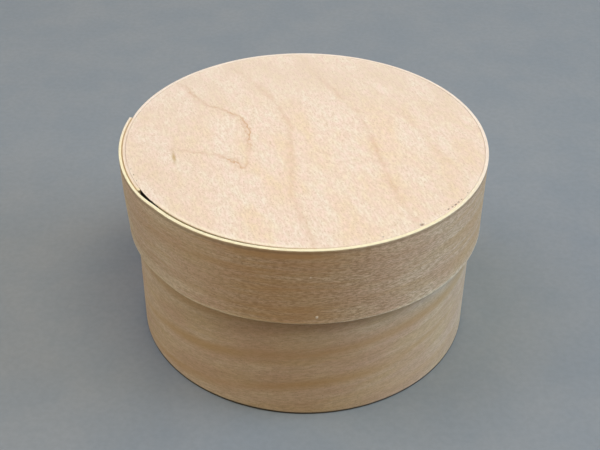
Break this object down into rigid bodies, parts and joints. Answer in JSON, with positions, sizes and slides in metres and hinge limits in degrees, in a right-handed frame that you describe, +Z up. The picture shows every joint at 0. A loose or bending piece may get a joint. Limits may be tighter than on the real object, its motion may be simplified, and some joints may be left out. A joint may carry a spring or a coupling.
{
  "type": "bentwood box",
  "caption": "Round bentwood box: a veneer strip bent round a flat base, with a lift-off lid made the same way that closes over its rim.",
  "frame": {"origin": "centre of the base panel's underside, on the surface that the box stands on", "axes": "+Z up along the axis of the box, -Y towards the side that the picture shows"},
  "size_m": [0.1213, 0.1201, 0.0695],
  "materials": {
    "lid_face": "bare sanded birch-like face, faint tan growth lines",
    "lid_veneer": "bare veneer, fine grain along the strip, cream cut edges",
    "box_veneer": "bare veneer, smooth, broad ochre streaks along the strip",
    "base_face": "bare sanded face"
  },
  "bodies": {
    "box": {"box_band": "box_veneer", "base_panel": "base_face"},
    "lid": {"lid_band": "lid_veneer", "lid_panel": "lid_face"}
  },
  "joints": [
    {"name": "lid_lift", "type": "slide", "parent": "box", "child": "lid", "axis": [0, 0, 1], "range_m": [0, 0.04]}
  ]
}
